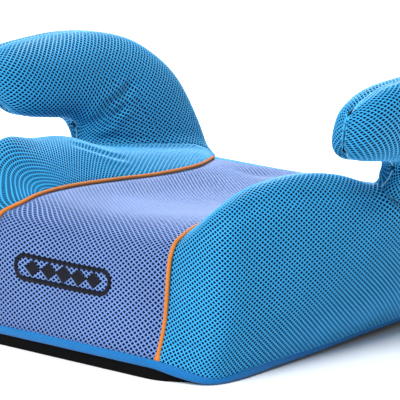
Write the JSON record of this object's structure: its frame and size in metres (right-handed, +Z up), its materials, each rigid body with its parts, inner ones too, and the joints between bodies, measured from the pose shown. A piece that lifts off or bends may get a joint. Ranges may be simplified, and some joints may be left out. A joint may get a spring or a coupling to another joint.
{
  "type": "booster seat",
  "caption": "Backless child booster seat with padded bolsters, two leaning armrests over belt slots, piped mesh cover and black base pan.",
  "frame": {"origin": "centre of the bounding box on the surface the seat rests on", "axes": "+Z up, the seat faces -Y, +X towards the sitter's left armrest"},
  "size_m": [0.4592, 0.3664, 0.2319],
  "materials": {
    "black_plastic": "moulded polypropylene, fine grain",
    "screw_steel": "zinc plated",
    "core_foam": "expanded polystyrene bead foam",
    "grey_plastic": "moulded polypropylene",
    "soft_foam": "open cell polyurethane foam",
    "lavender_mesh": "polyester spacer mesh, lavender",
    "blue_mesh": "polyester spacer mesh, blue",
    "orange_piping": "woven piping, orange",
    "blue_tape": "woven binding tape, bright blue",
    "white_elastic": "knitted elastic",
    "navy_thread": "satin stitch embroidery, navy"
  },
  "bodies": {
    "root": {"base_pan": "black_plastic", "pan_screws": "screw_steel", "seat_core": "core_foam", "left_armrest_frame": "grey_plastic", "right_armrest_frame": "grey_plastic", "armrest_screws": "screw_steel", "seat_pad": "soft_foam", "left_bolster_pad": "soft_foam", "right_bolster_pad": "soft_foam", "left_armrest_pad": "soft_foam", "right_armrest_pad": "soft_foam", "centre_panel": "lavender_mesh", "left_side_panel": "blue_mesh", "right_side_panel": "blue_mesh", "rear_panel": "blue_mesh", "left_armrest_sleeve": "blue_mesh", "right_armrest_sleeve": "blue_mesh", "left_piping": "orange_piping", "right_piping": "orange_piping", "hem_binding": "blue_tape", "hem_elastic": "white_elastic", "hem_clips": "black_plastic", "front_badge": "navy_thread"}
  },
  "joints": []
}
